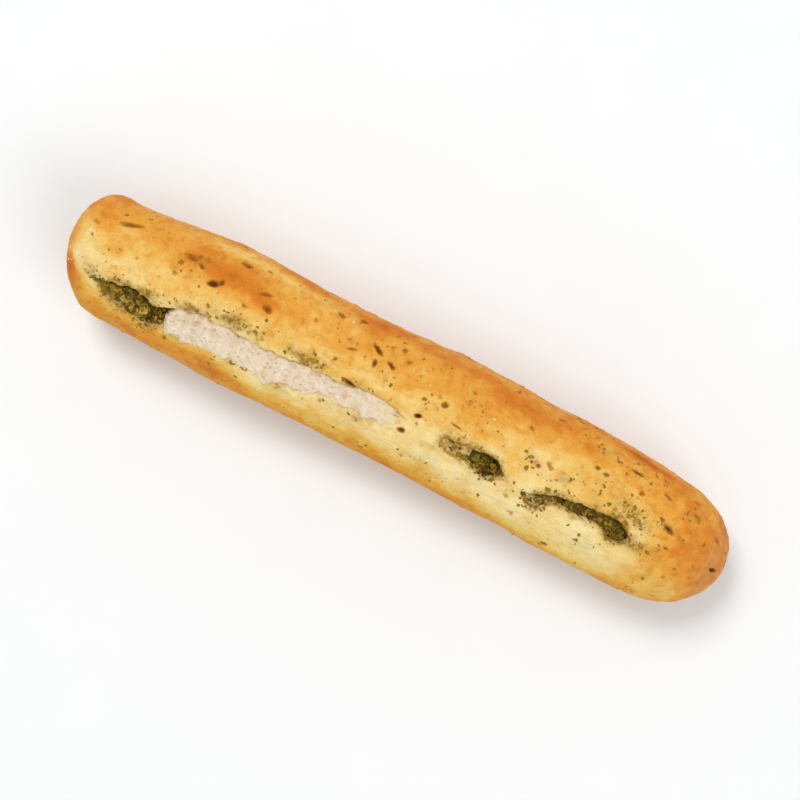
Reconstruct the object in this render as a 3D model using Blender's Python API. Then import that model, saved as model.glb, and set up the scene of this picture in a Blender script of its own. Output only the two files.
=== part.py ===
"""A short pesto-filled grissini breadstick that lies with its torn seam up.

The stick is one log of bread with a flat baked base.  Its upper side is torn
open along a wandering seam, and one ribbon of pesto runs through the bread
under that seam and comes up to the surface in three gashes.

Metres, +Z up.  +X runs along the stick towards its rounder end, and the seam
lies on the -Y side of the ridge.  The origin is below the middle of the
stick, on the surface that it rests on.  Sizes below are in millimetres.
"""
import math

import bmesh
import bpy
from mathutils import Vector, noise

MM = 0.001

# Driving dimensions of the log
LENGTH = 50.0
WIDTH = 9.2
HEIGHT = 8.6
BASE_WIDTH = 3.4        # flat strip that the dough was baked on
SQUARENESS = 2.2        # exponent of the section: 2 is an ellipse

# Rounding of the two ends, as the length of each dome
LEFT_DOME = 2.9
RIGHT_DOME = 4.7

# Stations along the stick: x, then the share of the full half width there
FULLNESS = ((-25.0, 0.83), (-20.5, 0.90), (-13.0, 1.00), (-8.0, 0.965), (3.0, 0.99),
            (11.0, 1.00), (17.0, 0.97), (25.0, 0.87))
# Stations along the stick: x, then how far the middle line swings to +Y
SWING = ((-25.0, 0.35), (-21.5, -0.35), (-14.0, -0.08), (-7.0, -0.12), (4.0, 0.14),
         (15.0, -0.05), (25.0, -0.15))

# Stations along the stick: x, then the height of the middle line.  The right end was cut
# a little aslant, so its tip lies low
LIFT = ((-25.0, 0.35), (-20.0, 0.0), (19.0, 0.0), (25.0, -0.9))

# Slow lumps left by rolling and proving
LUMP_SPACING = 7.0
LUMP_HEIGHT = 0.16
END_FADE = 6.0          # the lumps die out over this length at the ends

# Seam: x, then the angle from straight up, in degrees, -Y side negative
SEAM_ANGLE = ((-22.0, -23.0), (-16.8, -31.0), (-10.0, -24.0), (1.5, -11.5), (6.5, -18.0),
              (10.0, -21.0), (13.0, -14.0), (18.0, -14.0))
# Depth of the torn seam: deepest in the open split that bares the crumb, from x = -16
# to 0, a dip at each gash, and a crease in between
SEAM_DEPTH = ((-23.8, 0.0), (-21.5, 0.35), (-17.8, 0.75), (-15.8, 1.25), (-7.0, 1.15),
              (0.0, 0.50), (2.6, 0.20), (6.0, 0.55), (9.4, 0.20), (12.5, 0.42), (17.2, 0.45),
              (20.0, 0.0))
# Half the angle that the seam's opening spans, in degrees
SEAM_OPENING = ((-23.8, 5.0), (-21.5, 8.0), (-17.8, 13.0), (-14.0, 14.0), (-7.0, 12.5),
                (0.0, 7.5), (2.6, 6.0), (6.0, 9.5), (9.4, 6.5), (12.5, 7.5), (17.2, 8.5),
                (20.0, 5.0))
SEAM_FLOOR = 0.45       # share of the opening that is level floor
LIP_HEIGHT = 0.12       # height of the curled lips for each millimetre of depth
LIP_PLACE = 1.45        # how far out the lips are, in half openings
LIP_SPREAD = 0.4

# Pesto ribbon: x, then the depth of its middle below the untorn surface.  It is close
# to the surface in the three gashes and dives under the crumb in between
RIBBON_DEPTH = ((-22.8, 1.70), (-20.6, 1.05), (-17.7, 0.95), (-15.0, 2.90), (0.0, 2.80),
                (2.4, 2.00), (4.6, 1.00), (7.8, 0.90), (9.7, 1.75), (11.5, 1.00),
                (17.0, 0.90), (19.2, 1.80))
RIBBON_HALF_WIDTH = ((-22.8, 0.45), (-20.6, 0.60), (-17.7, 0.85), (-15.0, 0.60),
                     (2.4, 0.45), (7.8, 0.68), (9.7, 0.50), (17.0, 0.58), (19.2, 0.45))
RIBBON_HALF_HEIGHT = 0.70
RIBBON_TIP = 0.9        # length of its rounded tips
CLEARANCE = 0.32        # free gap between the ribbon and the bread

# Mesh density
HALF_RING = 21
RING_BIAS = 1.6         # above 1 crowds the points of a ring towards the seam
DOME_RINGS = 9
BODY_RINGS = 58
RIBBON_SIDES = 12
RIBBON_RINGS = 54
TIP_CROWDING = 0.25     # share by which the ribbon's rings crowd towards its tips
TIP_BLUNT = 0.02        # keeps the tips' last rings from closing to a point

BREAD_COLOR = (0.72, 0.38, 0.09, 1.0)
PESTO_COLOR = (0.075, 0.07, 0.012, 1.0)


def smooth_step(low, high, value):
    """0 below low, 1 above high, with a smooth rise between them."""
    t = min(max((value - low) / (high - low), 0.0), 1.0)
    return t * t * (3.0 - 2.0 * t)


def along(stations, x):
    """Value at x on the smooth curve through a short list of (x, value) stations."""
    if x <= stations[0][0]:
        return stations[0][1]
    if x >= stations[-1][0]:
        return stations[-1][1]
    i = max(k for k in range(len(stations) - 1) if stations[k][0] <= x)
    (x0, v0), (x1, v1) = stations[i], stations[i + 1]

    def slope(k):
        if k in (0, len(stations) - 1):
            return 0.0
        (xa, va), (xb, vb) = stations[k - 1], stations[k + 1]
        return (vb - va) / (xb - xa)

    span = x1 - x0
    t = (x - x0) / span
    rise = t * t * (3.0 - 2.0 * t)
    ease_out = t * (1.0 - t) ** 2
    ease_in = t * t * (t - 1.0)
    return v0 + (v1 - v0) * rise + span * (slope(i) * ease_out + slope(i + 1) * ease_in)


def dome(x):
    """1 along the body, falling to 0 at the two ends on an ellipse."""
    from_left = x + LENGTH / 2
    from_right = LENGTH / 2 - x
    into_left = max(0.0, 1.0 - from_left / LEFT_DOME)
    into_right = max(0.0, 1.0 - from_right / RIGHT_DOME)
    into = min(max(into_left, into_right), 1.0)
    return math.sqrt(1.0 - into * into)


def half_sizes(x):
    """Half width and half height of the section at x."""
    share = along(FULLNESS, x) * dome(x)
    return WIDTH / 2 * share, HEIGHT / 2 * share


def base_level():
    """Height of the flat base, measured from the middle line."""
    half_height = HEIGHT / 2
    across = (BASE_WIDTH / WIDTH) ** SQUARENESS
    return -half_height * (1.0 - across) ** (1.0 / SQUARENESS)


def lump(x, angle):
    """Slow swelling and sinking of the dough's surface."""
    ring = Vector((x, WIDTH / 2 * math.sin(angle), HEIGHT / 2 * math.cos(angle)))
    to_end = LENGTH / 2 - abs(x)
    return LUMP_HEIGHT * noise.noise(ring / LUMP_SPACING) * smooth_step(0.0, END_FADE, to_end)


def seam_cut(x, offset):
    """Depth of the torn seam at an angle, in radians, away from its middle."""
    depth = along(SEAM_DEPTH, x)
    out = abs(offset) / math.radians(along(SEAM_OPENING, x))
    trench = 1.0 - smooth_step(SEAM_FLOOR, 1.0, out)
    lip = LIP_HEIGHT * math.exp(-((out - LIP_PLACE) / LIP_SPREAD) ** 2)
    return depth * (trench - lip)


def radius(x, angle):
    """Distance of the untorn surface from the middle line, at an angle from straight up."""
    half_width, half_height = half_sizes(x)
    if half_width <= 0.0:
        return 0.0
    across = (abs(math.sin(angle)) / half_width) ** SQUARENESS
    upward = (abs(math.cos(angle)) / half_height) ** SQUARENESS
    return (across + upward) ** (-1.0 / SQUARENESS) + lump(x, angle) * dome(x)


def surface_point(x, angle, depth):
    """Point at a depth below the untorn surface, in millimetres."""
    reach = radius(x, angle) - depth
    y = along(SWING, x) + reach * math.sin(angle)
    z = along(LIFT, x) + reach * math.cos(angle)
    return Vector((x, y, z))


def seam_angle(x):
    return math.radians(along(SEAM_ANGLE, x))


def angle_beside_seam(x, offset):
    """Angle from straight up: the wandering seam turns only the upper side with it."""
    return offset + seam_angle(x) * (0.5 + 0.5 * math.cos(offset))


def ring_offsets():
    """Angles of a ring's points from the seam, crowded towards it."""
    steps = range(-HALF_RING, HALF_RING)
    return [math.copysign(math.pi * abs(k / HALF_RING) ** RING_BIAS, k) for k in steps]


def ring_stations():
    """x of every ring: close together on the domes and even along the body."""
    left = -LENGTH / 2
    right = LENGTH / 2
    quarter = [math.pi / 2 * k / DOME_RINGS for k in range(1, DOME_RINGS)]
    stations = [left + LEFT_DOME * (1.0 - math.cos(a)) for a in quarter]
    start = left + LEFT_DOME
    body = right - RIGHT_DOME - start
    stations += [start + body * k / BODY_RINGS for k in range(BODY_RINGS + 1)]
    stations += [right - RIGHT_DOME * (1.0 - math.cos(a)) for a in reversed(quarter)]
    return stations


def bridge_rings(mesh, rings):
    """Quads between neighbouring rings, facing out where rings run along +X."""
    for first, second in zip(rings, rings[1:]):
        count = len(first)
        for i in range(count):
            j = (i + 1) % count
            mesh.faces.new((first[i], first[j], second[j], second[i]))


def close_end(mesh, ring, tip):
    """Fan of triangles from a ring to the tip of the stick."""
    for i, corner in enumerate(ring):
        mesh.faces.new((corner, ring[(i + 1) % len(ring)], tip))


def to_object(name, mesh, color, roughness):
    """Object with its own plain material, from a finished bmesh in millimetres."""
    bmesh.ops.recalc_face_normals(mesh, faces=mesh.faces)
    data = bpy.data.meshes.new(name)
    mesh.to_mesh(data)
    mesh.free()
    data.shade_smooth()
    material = bpy.data.materials.new(name)
    material.use_nodes = True
    shader = material.node_tree.nodes["Principled BSDF"]
    shader.inputs["Base Color"].default_value = color
    shader.inputs["Roughness"].default_value = roughness
    data.materials.append(material)
    part = bpy.data.objects.new(name, data)
    bpy.context.collection.objects.link(part)
    return part


def make_log():
    """The bread: rings of the torn section, closed to a point at both ends."""
    mesh = bmesh.new()
    offsets = ring_offsets()
    floor = base_level()
    rings = []
    for x in ring_stations():
        ring = []
        for offset in offsets:
            angle = angle_beside_seam(x, offset)
            point = surface_point(x, angle, seam_cut(x, offset))
            point.z = max(point.z, floor)
            ring.append(mesh.verts.new(point))
        rings.append(ring)
    bridge_rings(mesh, rings)
    for ring, end in ((rings[0], -LENGTH / 2), (rings[-1], LENGTH / 2)):
        close_end(mesh, ring, mesh.verts.new((end, along(SWING, end), along(LIFT, end))))
    return to_object("breadstick", mesh, BREAD_COLOR, 0.7)


def ribbon_steepness(x):
    """How much longer the ribbon's path is than its run along X, at x."""
    step = 0.1
    rise = along(RIBBON_DEPTH, x + step) - along(RIBBON_DEPTH, x - step)
    return math.hypot(1.0, rise / (2 * step))


def ribbon_ring(x, tip, margin):
    """Points of the ribbon's oval section, grown by a margin that is square to its path."""
    angle = seam_angle(x)
    middle = surface_point(x, angle, along(RIBBON_DEPTH, x))
    outward = Vector((0.0, math.sin(angle), math.cos(angle)))
    sideways = Vector((0.0, math.cos(angle), -math.sin(angle)))
    half_width = along(RIBBON_HALF_WIDTH, x) * tip + margin
    half_height = RIBBON_HALF_HEIGHT * tip + margin * ribbon_steepness(x)
    points = []
    for side in range(RIBBON_SIDES):
        turn = 2 * math.pi * side / RIBBON_SIDES
        across = sideways * (half_width * math.sin(turn))
        upward = outward * (half_height * math.cos(turn))
        points.append(middle + across + upward)
    return points


def tip_shift(x, start, end, margin):
    """How far the margin pushes a ring out past the ribbon's tips."""
    near_start = 1.0 - smooth_step(0.0, 2 * RIBBON_TIP, x - start)
    near_end = 1.0 - smooth_step(0.0, 2 * RIBBON_TIP, end - x)
    return margin * (near_end - near_start)


def make_ribbon(name, margin):
    """The pesto ribbon, or with a margin the cutter for its channel."""
    start = RIBBON_DEPTH[0][0]
    end = RIBBON_DEPTH[-1][0]
    mesh = bmesh.new()
    rings = []
    for k in range(RIBBON_RINGS + 1):
        even = k / RIBBON_RINGS
        crowded = 0.5 - 0.5 * math.cos(math.pi * even)
        x = start + (end - start) * (TIP_CROWDING * crowded + (1 - TIP_CROWDING) * even)
        into_tip = 1.0 - min((min(x - start, end - x) + TIP_BLUNT) / RIBBON_TIP, 1.0)
        points = ribbon_ring(x, math.sqrt(1.0 - into_tip ** 2), margin)
        for point in points:
            point.x += tip_shift(x, start, end, margin)
        rings.append([mesh.verts.new(point) for point in points])
    bridge_rings(mesh, rings)
    mesh.faces.new(rings[0])
    mesh.faces.new(list(reversed(rings[-1])))
    return to_object(name, mesh, PESTO_COLOR, 0.35)


def cut(target, cutter):
    """Subtract the cutter, which stays in the file as a guide."""
    cutter.hide_render = True
    cutter.display_type = "WIRE"
    boolean = target.modifiers.new("channel", "BOOLEAN")
    boolean.operation = "DIFFERENCE"
    boolean.object = cutter
    boolean.solver = "EXACT"


def stand_on_origin(log, others):
    """Turn millimetres into metres and put the origin under the middle of the stick."""
    corners = [vertex.co for vertex in log.data.vertices]
    low = Vector([min(corner[axis] for corner in corners) for axis in range(3)])
    high = Vector([max(corner[axis] for corner in corners) for axis in range(3)])
    shift = Vector(((low.x + high.x) / 2, (low.y + high.y) / 2, low.z))
    for part in [log] + others:
        for vertex in part.data.vertices:
            vertex.co = (vertex.co - shift) * MM


def main():
    for old in list(bpy.data.objects):
        bpy.data.objects.remove(old)
    log = make_log()
    pesto = make_ribbon("pesto_filling", 0.0)
    channel = make_ribbon("channel_cutter", CLEARANCE)
    stand_on_origin(log, [pesto, channel])
    cut(log, channel)


main()
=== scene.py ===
"""Looks of the pesto-filled grissini breadstick.

The crust, the torn crumb, the pesto and everything scattered on them are mesh, worked out
in millimetres around the stick's own middle line and then set on the CAD solid's box.
A point on the stick is named by its x and by its angle from straight up, +Y side positive.
"""
from math import cos, pi, radians, sin

import bpy
import numpy as np
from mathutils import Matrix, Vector, noise


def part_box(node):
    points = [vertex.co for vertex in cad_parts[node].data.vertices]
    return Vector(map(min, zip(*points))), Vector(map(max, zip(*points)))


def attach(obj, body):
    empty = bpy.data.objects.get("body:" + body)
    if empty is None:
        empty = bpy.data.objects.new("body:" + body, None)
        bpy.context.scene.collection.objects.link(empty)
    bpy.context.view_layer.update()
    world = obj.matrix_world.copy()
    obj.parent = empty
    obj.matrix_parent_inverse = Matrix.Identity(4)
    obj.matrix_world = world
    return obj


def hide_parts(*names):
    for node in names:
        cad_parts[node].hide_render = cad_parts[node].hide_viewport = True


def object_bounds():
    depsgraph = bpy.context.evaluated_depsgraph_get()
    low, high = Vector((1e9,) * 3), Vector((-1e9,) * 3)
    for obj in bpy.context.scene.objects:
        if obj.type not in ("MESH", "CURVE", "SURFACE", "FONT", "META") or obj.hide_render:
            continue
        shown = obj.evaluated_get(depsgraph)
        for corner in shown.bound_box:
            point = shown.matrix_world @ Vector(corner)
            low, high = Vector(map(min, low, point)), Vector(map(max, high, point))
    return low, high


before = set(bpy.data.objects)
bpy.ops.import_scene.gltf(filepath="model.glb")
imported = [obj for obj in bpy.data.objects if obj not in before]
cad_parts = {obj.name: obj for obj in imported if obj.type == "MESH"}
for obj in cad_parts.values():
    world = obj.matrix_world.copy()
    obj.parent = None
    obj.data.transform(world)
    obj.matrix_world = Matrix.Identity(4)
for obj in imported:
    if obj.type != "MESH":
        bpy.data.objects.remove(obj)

CAD_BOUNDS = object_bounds()
MM = 0.001

# Form of the log, in millimetres, as in the CAD source
LENGTH = 50
WIDTH = 9.2
HEIGHT = 8.6
BASE_WIDTH = 3.4
SQUARENESS = 2.2
LEFT_DOME = 2.9
RIGHT_DOME = 4.7
LUMP_SPACING = 7
LUMP_HEIGHT = 0.16
END_FADE = 6
# Stations: x, then the value there
FULLNESS = (
    (-25, 0.83), (-20.5, 0.9), (-13, 1), (-8, 0.965), (3, 0.99), (11, 1), (17, 0.97), (25, 0.87))
SWING = (
    (-25, 0.35), (-21.5, -0.35), (-14, -0.08), (-7, -0.12), (4, 0.14), (15, -0.05), (25, -0.15))
LIFT = ((-25, 0.35), (-20, 0), (19, 0), (25, -0.9))
# Edges of the tear along the top as seen from above: x, then y of the upper and lower edge
UPPER_EDGE = (
    (-21.9, -2.1), (-19, -1.64), (-17.2, -1.96), (-15.8, -1.42), (-13.7, -1.12), (-8, -1.06),
    (-2.5, -0.56), (-0.2, -0.52), (0.9, -0.9), (3.3, -0.85), (5.6, -0.62), (7.2, -0.64),
    (7.9, -0.82), (8.4, -1.22), (9.9, -1.62), (12.5, -0.75), (14.4, -0.5), (16.3, -0.42),
    (17.2, -0.72), (17.9, -1.2))
LOWER_EDGE = (
    (-21.9, -2.22), (-20.4, -2.92), (-18.9, -3.4), (-17, -3.6), (-16, -3.12), (-13.1, -3.02),
    (-10.9, -2.62), (-9, -2.95), (-7.1, -2.48), (-2.9, -2), (-0.6, -2.02), (0.9, -1.4),
    (3.3, -1.15), (5.1, -1.5), (7.2, -1.98), (7.9, -1.76), (8.4, -1.32), (9.9, -1.8), (10.9, -2.4),
    (12, -1.34), (13.6, -1.34), (14.7, -1.24), (15.6, -1.4), (16.7, -1.88), (17.9, -1.36))
# Depth of the tear, then the form of the ribbon of pesto
TEAR_DEPTH = (
    (-22.3, 0), (-21.4, 0.3), (-20, 1), (-17, 1.3), (-7, 1.15), (-1, 0.55), (0.3, 0.34),
    (1.2, 0.04), (3.2, 0.04), (4.2, 0.22), (5.7, 0.28), (6.7, 1.2), (7.8, 1.3), (8.4, 0.06),
    (9.9, 0.06), (10.6, 0.28), (12, 0.26), (13.2, 1), (17.2, 1), (17.9, 0.08), (18.7, 0))
RIBBON_DEPTH = (
    (-22.8, 1.7), (-20.6, 1.05), (-17.7, 0.95), (-15, 2.9), (0, 2.8), (2.4, 2), (4.6, 1),
    (7.8, 0.9), (9.7, 1.75), (11.5, 1), (17, 0.9), (19.2, 1.8))
RIBBON_HALF_WIDTH = (
    (-22.8, 0.45), (-20.6, 0.6), (-17.7, 0.85), (-15, 0.6), (2.4, 0.45), (7.8, 0.68), (9.7, 0.5),
    (17, 0.58), (19.2, 0.45))
RIBBON_HALF_HEIGHT = 0.7

# The split that bares the crumb: where its crumb starts, narrows and ends
CRUMB_START = -16.35
CRUMB_NARROW = -2
CRUMB_END = 1.2

# Share of the gashes that chopped bits cover
BITS_SHARE = (
    (-22.2, 0), (-21.2, 1), (-16.8, 1), (-16.2, 0), (3.8, 0), (4.5, 0.07), (5.9, 0.12), (6.7, 1),
    (8, 1), (8.4, 0), (10, 0.03), (10.8, 0.13), (12.1, 0.15), (12.8, 0.6), (13.6, 1), (17, 1),
    (17.6, 0))
# Where herbs gather on the crust, seen from above: x, y, half length, half width, strength
HERB_CLUMPS = (
    (-12.2, -0.44, 1.5, 0.46, 2.4), (9, -1.95, 0.7, 0.22, 0.5), (3.2, -1.75, 0.9, 0.25, 0.5),
    (-15, -0.98, 1, 0.34, 1.9), (-18.2, -1.3, 1.6, 0.26, 0.9), (-10.1, -0.6, 0.4, 0.22, 0.7),
    (-6.7, -0.35, 1.3, 0.42, 2.1), (-22.2, -1.85, 0.75, 0.5, 1.2), (-20.6, -1.7, 0.8, 0.22, 0.5),
    (-16.3, 2.1, 0.9, 0.32, 0.7), (-7.8, -2.85, 0.5, 0.22, 0.7), (-2, -2.45, 0.35, 0.22, 0.8),
    (2.6, -2.95, 0.8, 0.24, 0.7), (4.6, -0.2, 1.3, 0.26, 0.6), (4.5, -1.3, 1, 0.35, 1),
    (9.6, 0.62, 0.55, 0.42, 0.8), (11, -1.9, 0.75, 0.48, 1.5), (12.1, 0.5, 0.5, 0.35, 0.8),
    (14.4, 1.45, 0.5, 0.45, 0.8), (13.6, 3.35, 0.9, 0.28, 0.7), (16.3, 3.1, 0.8, 0.24, 0.8),
    (16.6, 0.7, 1.1, 0.5, 1.3), (17.4, 0.1, 0.8, 0.4, 0.9), (18.3, -1.5, 0.6, 0.5, 1),
    (19.6, 0.7, 0.65, 0.36, 1), (21.2, 2.25, 0.6, 0.35, 0.5), (15.1, -2.9, 0.5, 0.3, 0.4))

# How many of each scattered thing
SMALL_DENTS = 260
BLISTERS = 170
CRUMB_SHREDS = 110
LEAF_TRIES = 5200  # places tried for chopped leaf, of which BITS_SHARE are used
HERB_SPECKS = 640
SALT_GRAINS = 14

# Mesh density of the bread
LEFT_RINGS = 26
BODY_RINGS = 414
RIGHT_RINGS = 40
HALF_RING = 102
RING_BIAS = 1.45  # above 1, columns crowd together at the seam
BURIED_ROWS = 24  # rows of the crumb that start under the crust

SEED = 27


# ---- numbers and noise

def rise(low, high, value):
    """0 below low, 1 above high, and smooth between them."""
    t = np.clip((value - low) / (high - low), 0, 1)
    return t * t * (3 - 2 * t)


def bump(value, middle, spread):
    """1 at the middle, falling to 0 a few spreads away."""
    return np.exp(-((value - middle) / spread) ** 2)


def along(stations, x):
    """Value at x on the smooth curve through (x, value) stations."""
    places, values = np.array(stations).T
    slopes = np.zeros(len(places))
    slopes[1:-1] = (values[2:] - values[:-2]) / (places[2:] - places[:-2])
    x = np.clip(x, places[0], places[-1])
    i = np.clip(np.searchsorted(places, x, side="right") - 1, 0, len(places) - 2)
    span = places[i + 1] - places[i]
    t = (x - places[i]) / span
    step = t * t * (3 - 2 * t)
    ease = slopes[i] * t * (1 - t) ** 2 + slopes[i + 1] * t * t * (t - 1)
    return values[i] + (values[i + 1] - values[i]) * step + span * ease


def cell_random(cells, salt):
    """Repeatable random number, 0 to 1, for each cell."""
    c = cells.astype(np.int64)
    mixed = c[..., 0] * 374761393 + c[..., 1] * 668265263 + c[..., 2] * 974634777
    mixed = (mixed + salt * 1274126177) & 0xFFFFFFFF
    mixed = ((mixed ^ (mixed >> 13)) * 1274126177) & 0xFFFFFFFF
    mixed = ((mixed ^ (mixed >> 15)) * 668265263) & 0xFFFFFFFF
    return (mixed ^ (mixed >> 16)) / 0xFFFFFFFF


def soft_noise(points, size, salt):
    """Smooth noise, -1 to 1, about size across (one size, or one an axis)."""
    places = points / size
    low = np.floor(places)
    t = places - low
    t = t * t * (3 - 2 * t)
    total = 0
    for corner in np.ndindex(2, 2, 2):
        weight = np.prod(np.where(corner, t, 1 - t), axis=-1)
        total += weight * cell_random(low + corner, salt)
    return 2 * total - 1


def rough_noise(points, size, salt, octaves=3):
    """Noise of several sizes, each half the width and strength of the last."""
    total = 0
    for k in range(octaves):
        share = 0.5 ** k
        total += share * soft_noise(points, np.array(size) * share, salt + 17 * k)
    return total / 1.6


def scattered_cells(points, size, salt):
    """Distance to the nearest scattered centre, in sizes, and its random number."""
    places = points / size
    low = np.floor(places)
    nearest, number = np.inf, 0
    for step in np.ndindex(3, 3, 3):
        cell = low + step - 1
        centre = cell + np.stack([cell_random(cell, salt + k) for k in range(3)], axis=-1)
        distance = np.linalg.norm(places - centre, axis=-1)
        closer = distance < nearest
        nearest = np.where(closer, distance, nearest)
        number = np.where(closer, cell_random(cell, salt + 3), number)
    return nearest, number


def xyz(x, y, z):
    """Points from coordinates, or triangles from corner numbers."""
    return np.stack(np.broadcast_arrays(x, y, z), axis=-1)


def unit(vectors):
    """The same directions at a length of 1."""
    return vectors / np.maximum(np.linalg.norm(vectors, axis=-1, keepdims=True), 1e-12)


# ---- form of the log

def dome(x):
    """1 along the body, falling to 0 at the two ends on an ellipse."""
    into_left = 1 - (x + LENGTH / 2) / LEFT_DOME
    into_right = 1 - (LENGTH / 2 - x) / RIGHT_DOME
    into = np.clip(np.maximum(into_left, into_right), 0, 1)
    return np.sqrt(1 - into * into)


def lump(x, angle):
    """The slow lumps of the CAD solid."""
    places = xyz(x, WIDTH / 2 * np.sin(angle), HEIGHT / 2 * np.cos(angle))
    flat = (places / LUMP_SPACING).reshape(-1, 3)
    height = np.array([noise.noise(Vector(place)) for place in flat]).reshape(x.shape)
    fade = rise(0, END_FADE, LENGTH / 2 - np.abs(x))
    return LUMP_HEIGHT * height * fade * dome(x)


def radius(x, angle):
    """Distance of the untorn surface from the middle line."""
    share = np.maximum(along(FULLNESS, x) * dome(x), 1e-6)
    across = np.abs(np.sin(angle)) / (WIDTH / 2)
    upward = np.abs(np.cos(angle)) / (HEIGHT / 2)
    oval = (across ** SQUARENESS + upward ** SQUARENESS) ** (-1 / SQUARENESS)
    return share * oval + lump(x, angle)


def surface(x, angle, depth=0):
    """Points at a depth below the untorn surface."""
    x, angle = np.broadcast_arrays(x, angle)
    reach = radius(x, angle) - depth
    y = along(SWING, x) + reach * np.sin(angle)
    z = along(LIFT, x) + reach * np.cos(angle)
    return xyz(x, y, z)


def outward(x, angle):
    """Unit normals of the untorn surface."""
    step_x, step_angle = 0.04, 0.01
    end = LENGTH / 2
    ahead = surface(np.minimum(x + step_x, end), angle)
    behind = surface(np.maximum(x - step_x, -end), angle)
    around = surface(x, angle + step_angle) - surface(x, angle - step_angle)
    return unit(np.cross(ahead - behind, around))


def plan_angle(x, y):
    """Angle on the upper side of the place at x and y as seen from above."""
    x, y = np.broadcast_arrays(x, y)
    low, high = -1.5, 1.5
    for _ in range(24):
        middle = (low + high) / 2
        inside = along(SWING, x) + radius(x, middle) * np.sin(middle) < y
        low = np.where(inside, middle, low)
        high = np.where(inside, high, middle)
    return (low + high) / 2


TEAR_X = np.linspace(-22.4, 19.4, 420)
TEAR_UPPER = plan_angle(TEAR_X, along(UPPER_EDGE, TEAR_X))
TEAR_LOWER = plan_angle(TEAR_X, along(LOWER_EDGE, TEAR_X))


def seam_angle(x):
    """Angle of the middle of the tear."""
    return np.interp(x, TEAR_X, (TEAR_UPPER + TEAR_LOWER) / 2)


def angle_beside_seam(x, offset):
    """Angle from straight up; the seam turns only the upper side with it."""
    return offset + seam_angle(x) * (0.5 + 0.5 * np.cos(offset))


def base_level():
    """Height of the flat base, measured from the middle line."""
    across = (BASE_WIDTH / WIDTH) ** SQUARENESS
    return -HEIGHT / 2 * (1 - across) ** (1 / SQUARENESS)


def line_noise(x, size, salt):
    """Smooth noise along the stick alone."""
    return soft_noise(xyz(x, 0, 0), size, salt)


def seam_opening(x, upper_side):
    """Half angle of the tear, whose upper lip is crisp and lower lip ragged."""
    upper = 1 + 0.07 * line_noise(x, 1.1, 3) + 0.09 * line_noise(x, 0.35, 4)
    lower = 1 + 0.12 * line_noise(x, 1.2, 5) + 0.17 * line_noise(x, 0.42, 6)
    plain = np.interp(x, TEAR_X, (TEAR_UPPER - TEAR_LOWER) / 2)
    return 1.06 * np.maximum(plain, 0.012) * np.where(upper_side, upper, lower)


def past_tear(x, offset):
    """Millimetres along the crust from the edge of the tear, below 0 inside it."""
    return np.abs(offset) * WIDTH / 2 - seam_opening(x, offset > 0) * WIDTH / 2


def past_place(angle, x0, y0):
    """Millimetres round the crust from the place at x0 and y0 as seen from above."""
    return (angle - float(plan_angle(x0, y0))) * WIDTH / 2


# ---- mesh building

def add_object(name, data):
    thing = bpy.data.objects.new(name, data)
    bpy.context.collection.objects.link(thing)
    return thing


def make_piece(name, points, faces, material, marks=None, smooth=True):
    """Mesh object from points in millimetres; marks are for the material."""
    mesh = bpy.data.meshes.new(name)
    points = (points.reshape(-1, 3) + SHIFT) * MM
    mesh.from_pydata(points.tolist(), [], faces)
    for mark, values in (marks or {}).items():
        layer = mesh.attributes.new(mark, "FLOAT", "POINT")
        layer.data.foreach_set("value", np.asarray(values, dtype=np.float32).ravel())
    mesh.materials.append(material)
    if smooth:
        mesh.shade_smooth()
    mesh.update()
    piece = add_object(name, mesh)
    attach(piece, "root")
    return piece


def full_turn(count):
    """Evenly spaced angles once round."""
    return np.linspace(0, 2 * pi, count, endpoint=False)


def grid_faces(rows, columns, closed=True):
    """Quads of a grid of points; closed joins its last column to its first."""
    i = np.arange(rows - 1)[:, None]
    j = np.arange(columns if closed else columns - 1)
    k = (j + 1) % columns
    corners = [i * columns + j, i * columns + k, (i + 1) * columns + k, (i + 1) * columns + j]
    return np.stack(np.broadcast_arrays(*corners), axis=-1).reshape(-1, 4).tolist()


def end_faces(start, rows, columns):
    """The two faces that close a tube whose first point is number start."""
    last = start + (rows - 1) * columns
    return [list(range(start, start + columns))[::-1], list(range(last, last + columns))]


def grid_normals(points):
    """Unit normals of a grid of points whose columns go once round it."""
    across = np.roll(points, -1, axis=1) - np.roll(points, 1, axis=1)
    forward = np.gradient(points, axis=0)
    return unit(np.cross(forward, across))


# ---- bread

def ring_stations():
    """x of every ring: close together on the domes and even along the body."""
    left, right = -LENGTH / 2, LENGTH / 2
    body = np.linspace(left + LEFT_DOME, right - RIGHT_DOME, BODY_RINGS)
    from_left, from_right = (
        dome_length * (1 - np.cos(np.linspace(0.02, pi / 2, rings, endpoint=False)))
        for dome_length, rings in ((LEFT_DOME, LEFT_RINGS), (RIGHT_DOME, RIGHT_RINGS)))
    return np.concatenate([left + from_left, body, right - from_right[::-1]])


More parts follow.
